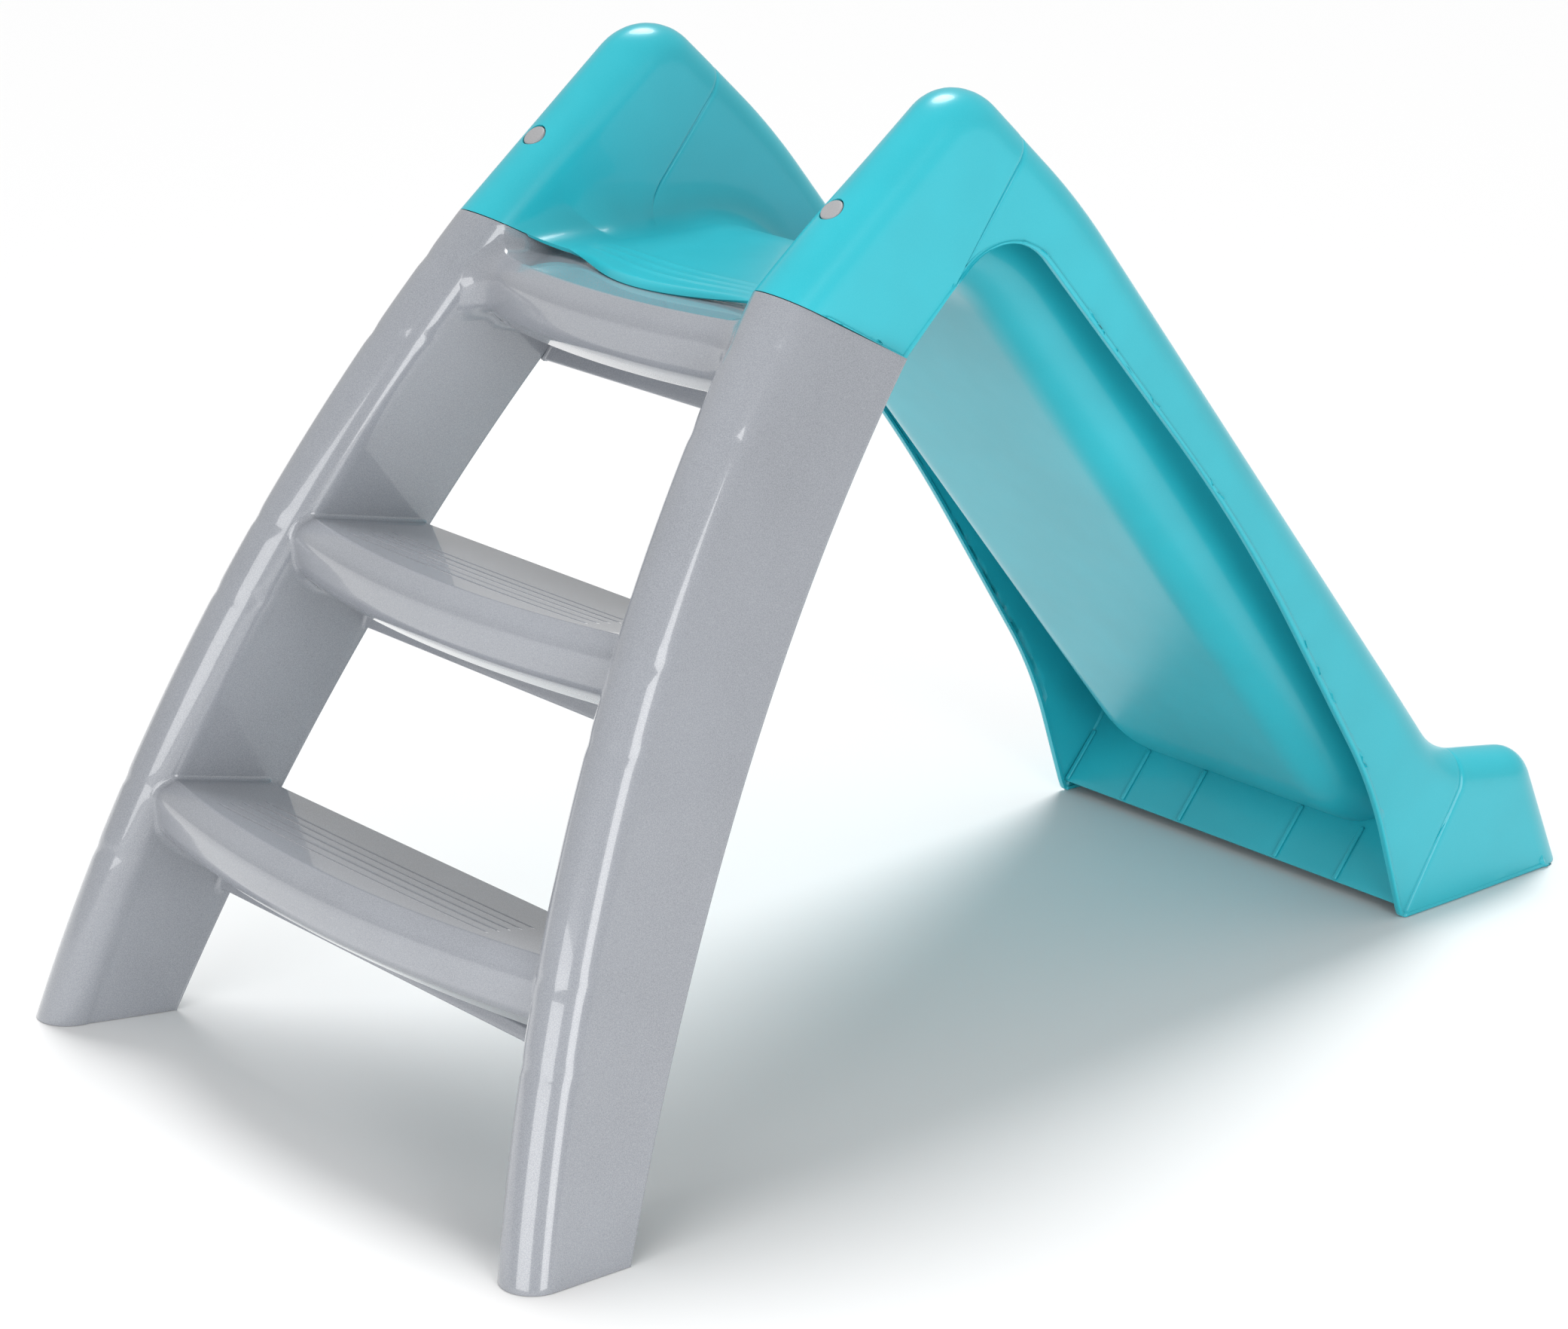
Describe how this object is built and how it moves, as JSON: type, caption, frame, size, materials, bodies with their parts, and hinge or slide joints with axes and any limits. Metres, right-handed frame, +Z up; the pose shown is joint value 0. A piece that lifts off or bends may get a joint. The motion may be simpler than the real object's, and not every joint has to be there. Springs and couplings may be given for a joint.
{
  "type": "toddler slide",
  "caption": "Small free-standing slide for toddlers: a moulded ladder with grooved treads and a plug-on chute with tall rounded handrails, held by sprung snap buttons.",
  "frame": {"origin": "on the floor, at the middle of the footprint", "axes": "+X is the width, with the right-hand side of a child climbing it at +X; +Y runs from the ladder to the end of the chute; +Z is up"},
  "size_m": [0.6824, 1.23, 0.762],
  "materials": {
    "ladder_plastic": "high gloss, silver grey with a fine metallic fleck",
    "chute_plastic": "soft gloss, turquoise",
    "button_plastic": "satin, silver grey"
  },
  "bodies": {
    "ladder": {"left_rail": "ladder_plastic", "right_rail": "ladder_plastic", "lower_step": "ladder_plastic", "middle_step": "ladder_plastic", "top_step": "ladder_plastic", "left_neck": "ladder_plastic", "right_neck": "ladder_plastic"},
    "chute": {"left_shoulder": "chute_plastic", "right_shoulder": "chute_plastic", "entry_platform": "chute_plastic", "left_handrail": "chute_plastic", "right_handrail": "chute_plastic", "left_skirt": "chute_plastic", "right_skirt": "chute_plastic", "slide_bed": "chute_plastic", "left_run_out_side": "chute_plastic", "right_run_out_side": "chute_plastic", "run_out_bed": "chute_plastic", "front_lip": "chute_plastic", "rear_apron": "chute_plastic"},
    "left_snap_button": {"left_snap_button": "button_plastic"},
    "right_snap_button": {"right_snap_button": "button_plastic"}
  },
  "joints": [
    {"name": "chute_lift_off", "type": "slide", "parent": "ladder", "child": "chute", "axis": [0, 0.7727, 0.6347], "range_m": [0, 0.14], "deforming": ["left_snap_button", "right_snap_button"]},
    {"name": "left_button_press", "type": "hinge", "parent": "ladder", "child": "left_snap_button", "pos_m": [-0.182, -0.24968, 0.64589], "axis": [-1, 0, 0], "range_deg": [0, 5.5], "stiffness_Nm_per_rad": 8},
    {"name": "right_button_press", "type": "hinge", "parent": "ladder", "child": "right_snap_button", "pos_m": [0.182, -0.24968, 0.64589], "axis": [-1, 0, 0], "range_deg": [0, 5.5], "stiffness_Nm_per_rad": 8}
  ]
}
